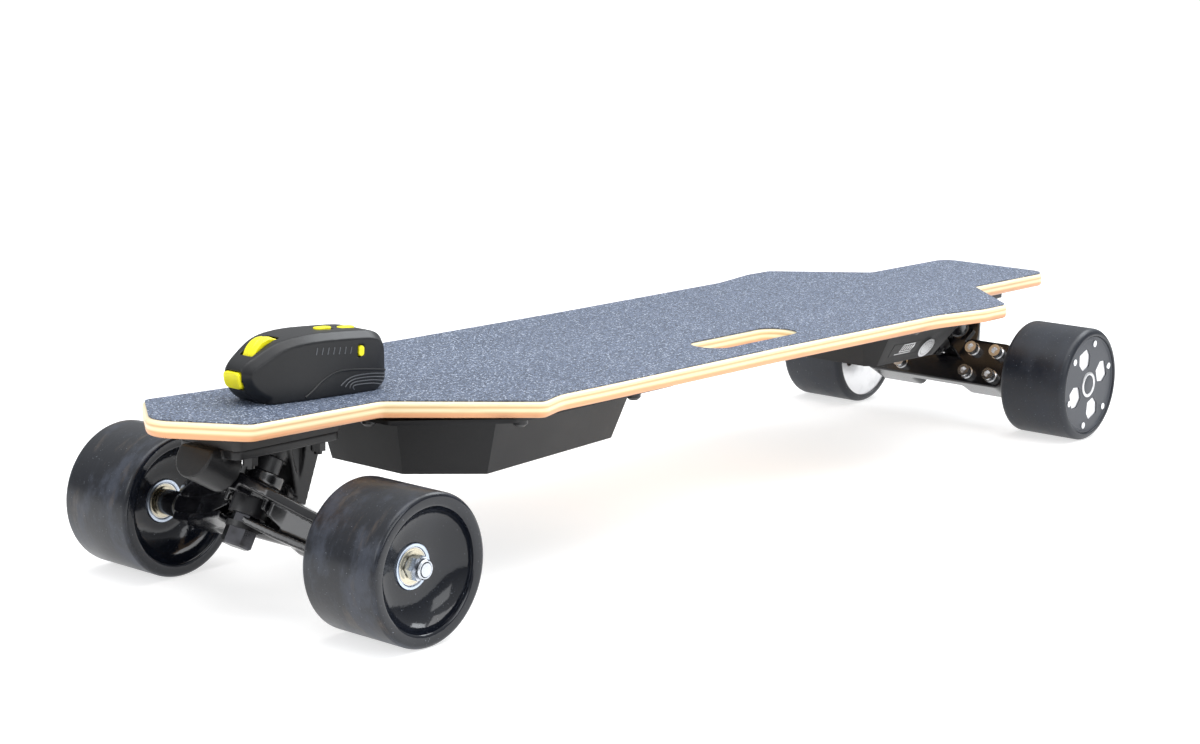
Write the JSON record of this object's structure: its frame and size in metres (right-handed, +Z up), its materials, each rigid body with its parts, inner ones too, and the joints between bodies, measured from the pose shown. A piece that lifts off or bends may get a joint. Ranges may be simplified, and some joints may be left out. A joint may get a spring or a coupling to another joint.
{
  "type": "electric skateboard",
  "caption": "Electric longboard with drop-through-cut nose and tail, hub motors in the rear wheels, battery and controller cases below, and a hand remote on its nose.",
  "frame": {"origin": "on the ground under the middle of the deck's length", "axes": "+X to the nose, +Y to the rider's left, +Z up"},
  "size_m": [0.9194, 0.2696, 0.1612],
  "materials": {
    "maple": "clear lacquered edge",
    "grip": "silicon carbide grit",
    "riser_rubber": "matt",
    "cast_black": "satin",
    "hanger_black": "gloss",
    "urethane": "satin",
    "zinc_steel": "zinc plated",
    "black_steel": "black oxide",
    "stainless": "satin",
    "case_black": "fine texture",
    "cell_sleeve": "shrink sleeve",
    "circuit": "solder mask",
    "window_black": "clear",
    "soft_rubber": "matt",
    "lamination": "laminated",
    "copper": "enamelled copper",
    "remote_black": "fine texture",
    "yellow": "satin",
    "urethane_wheel": "gloss",
    "bearing_steel": "polished",
    "wheel_rubber": "matt",
    "motor_can": "machined",
    "magnet": "nickel",
    "cover_black": "satin anodised"
  },
  "bodies": {
    "board": {"deck": "maple", "grip_tape": "grip", "front_riser": "riser_rubber", "rear_riser": "riser_rubber", "front_baseplate": "cast_black", "rear_baseplate": "cast_black", "front_bushings": "urethane", "rear_bushings": "urethane", "pivot_cups": "urethane", "kingpins": "zinc_steel", "kingpin_collars": "zinc_steel", "cup_washers": "black_steel", "truck_bolts": "black_steel", "truck_nuts": "black_steel", "battery_case": "case_black", "battery_cells": "cell_sleeve", "battery_board": "circuit", "controller_case": "case_black", "controller_board": "circuit", "case_screws": "black_steel", "button_housing": "stainless", "indicator_window": "window_black", "charge_socket": "soft_rubber", "power_cable": "soft_rubber"},
    "power_button_cap": {"power_button": "stainless"},
    "front_truck_hanger": {"front_hanger": "hanger_black", "front_axle": "zinc_steel", "front_axle_nuts": "zinc_steel", "speed_washers": "zinc_steel", "front_spacers": "zinc_steel"},
    "rear_truck_hanger": {"rear_hanger": "hanger_black", "motor_axles": "stainless", "stators": "lamination", "windings": "copper", "clamp_screws": "stainless"},
    "remote": {"remote_upper_shell": "remote_black", "remote_lower_shell": "remote_black", "remote_board": "circuit", "roller_pin": "zinc_steel"},
    "remote_roller": {"thumb_roller": "yellow"},
    "remote_trigger": {"trigger": "yellow"},
    "remote_front_button": {"front_button": "yellow"},
    "remote_rear_button": {"rear_button": "yellow"},
    "remote_side_button": {"side_button": "yellow"},
    "front_left_wheel": {"front_left_tyre": "urethane_wheel", "front_left_bearings": "bearing_steel"},
    "rear_left_wheel": {"rear_left_tyre": "wheel_rubber", "rear_left_rotor": "motor_can", "rear_left_magnets": "magnet", "rear_left_cover": "cover_black", "rear_left_cover_screws": "stainless", "rear_left_bearings": "bearing_steel"},
    "front_right_wheel": {"front_right_tyre": "urethane_wheel", "front_right_bearings": "bearing_steel"},
    "rear_right_wheel": {"rear_right_tyre": "wheel_rubber", "rear_right_rotor": "motor_can", "rear_right_magnets": "magnet", "rear_right_cover": "cover_black", "rear_right_cover_screws": "stainless", "rear_right_bearings": "bearing_steel"}
  },
  "joints": [
    {"name": "front_steer", "type": "hinge", "parent": "board", "child": "front_truck_hanger", "pos_m": [0.38105, 0, 0.072], "axis": [0.8746, 0, 0.4848], "range_deg": [-8, 8], "stiffness_Nm_per_rad": 40, "deforming": ["front_bushings"]},
    {"name": "rear_steer", "type": "hinge", "parent": "board", "child": "rear_truck_hanger", "pos_m": [-0.39355, 0, 0.072], "axis": [-0.8746, 0, 0.4848], "range_deg": [-8, 8], "stiffness_Nm_per_rad": 40, "deforming": ["rear_bushings"]},
    {"name": "power_press", "type": "slide", "parent": "board", "child": "power_button_cap", "axis": [-0.0374, -0.8652, 0.5], "range_m": [0, 0.0008], "stiffness_N_per_m": 1500},
    {"name": "remote_lift", "type": "slide", "parent": "board", "child": "remote", "axis": [0, 0, 1], "range_m": [0, 0.25]},
    {"name": "roller_turn", "type": "hinge", "parent": "remote", "child": "remote_roller", "pos_m": [0.37494, -0.00087, 0.14647], "axis": [0.0279, 0.9996, 0.0006], "range_deg": [-35, 35], "stiffness_Nm_per_rad": 0.05},
    {"name": "trigger_pull", "type": "slide", "parent": "remote", "child": "remote_trigger", "axis": [-0.9994, 0.0279, -0.0227], "range_m": [0, 0.001], "stiffness_N_per_m": 800},
    {"name": "front_button_press", "type": "slide", "parent": "remote", "child": "remote_front_button", "axis": [0.0227, 0, -0.9997], "range_m": [0, 0.0006], "stiffness_N_per_m": 1200},
    {"name": "rear_button_press", "type": "slide", "parent": "remote", "child": "remote_rear_button", "axis": [0.0227, 0, -0.9997], "range_m": [0, 0.0006], "stiffness_N_per_m": 1200},
    {"name": "side_button_press", "type": "slide", "parent": "remote", "child": "remote_side_button", "axis": [-0.0279, -0.9996, -0.0006], "range_m": [0, 0.0006], "stiffness_N_per_m": 1200},
    {"name": "front_left_spin", "type": "hinge", "parent": "front_truck_hanger", "child": "front_left_wheel", "pos_m": [0.37375, 0.10515, 0.045], "axis": [0, 1, 0], "continuous": true},
    {"name": "rear_left_spin", "type": "hinge", "parent": "rear_truck_hanger", "child": "rear_left_wheel", "pos_m": [-0.38625, 0.106, 0.045], "axis": [0, 1, 0], "continuous": true},
    {"name": "front_right_spin", "type": "hinge", "parent": "front_truck_hanger", "child": "front_right_wheel", "pos_m": [0.37375, -0.10515, 0.045], "axis": [0, 1, 0], "continuous": true},
    {"name": "rear_right_spin", "type": "hinge", "parent": "rear_truck_hanger", "child": "rear_right_wheel", "pos_m": [-0.38625, -0.106, 0.045], "axis": [0, 1, 0], "continuous": true}
  ]
}
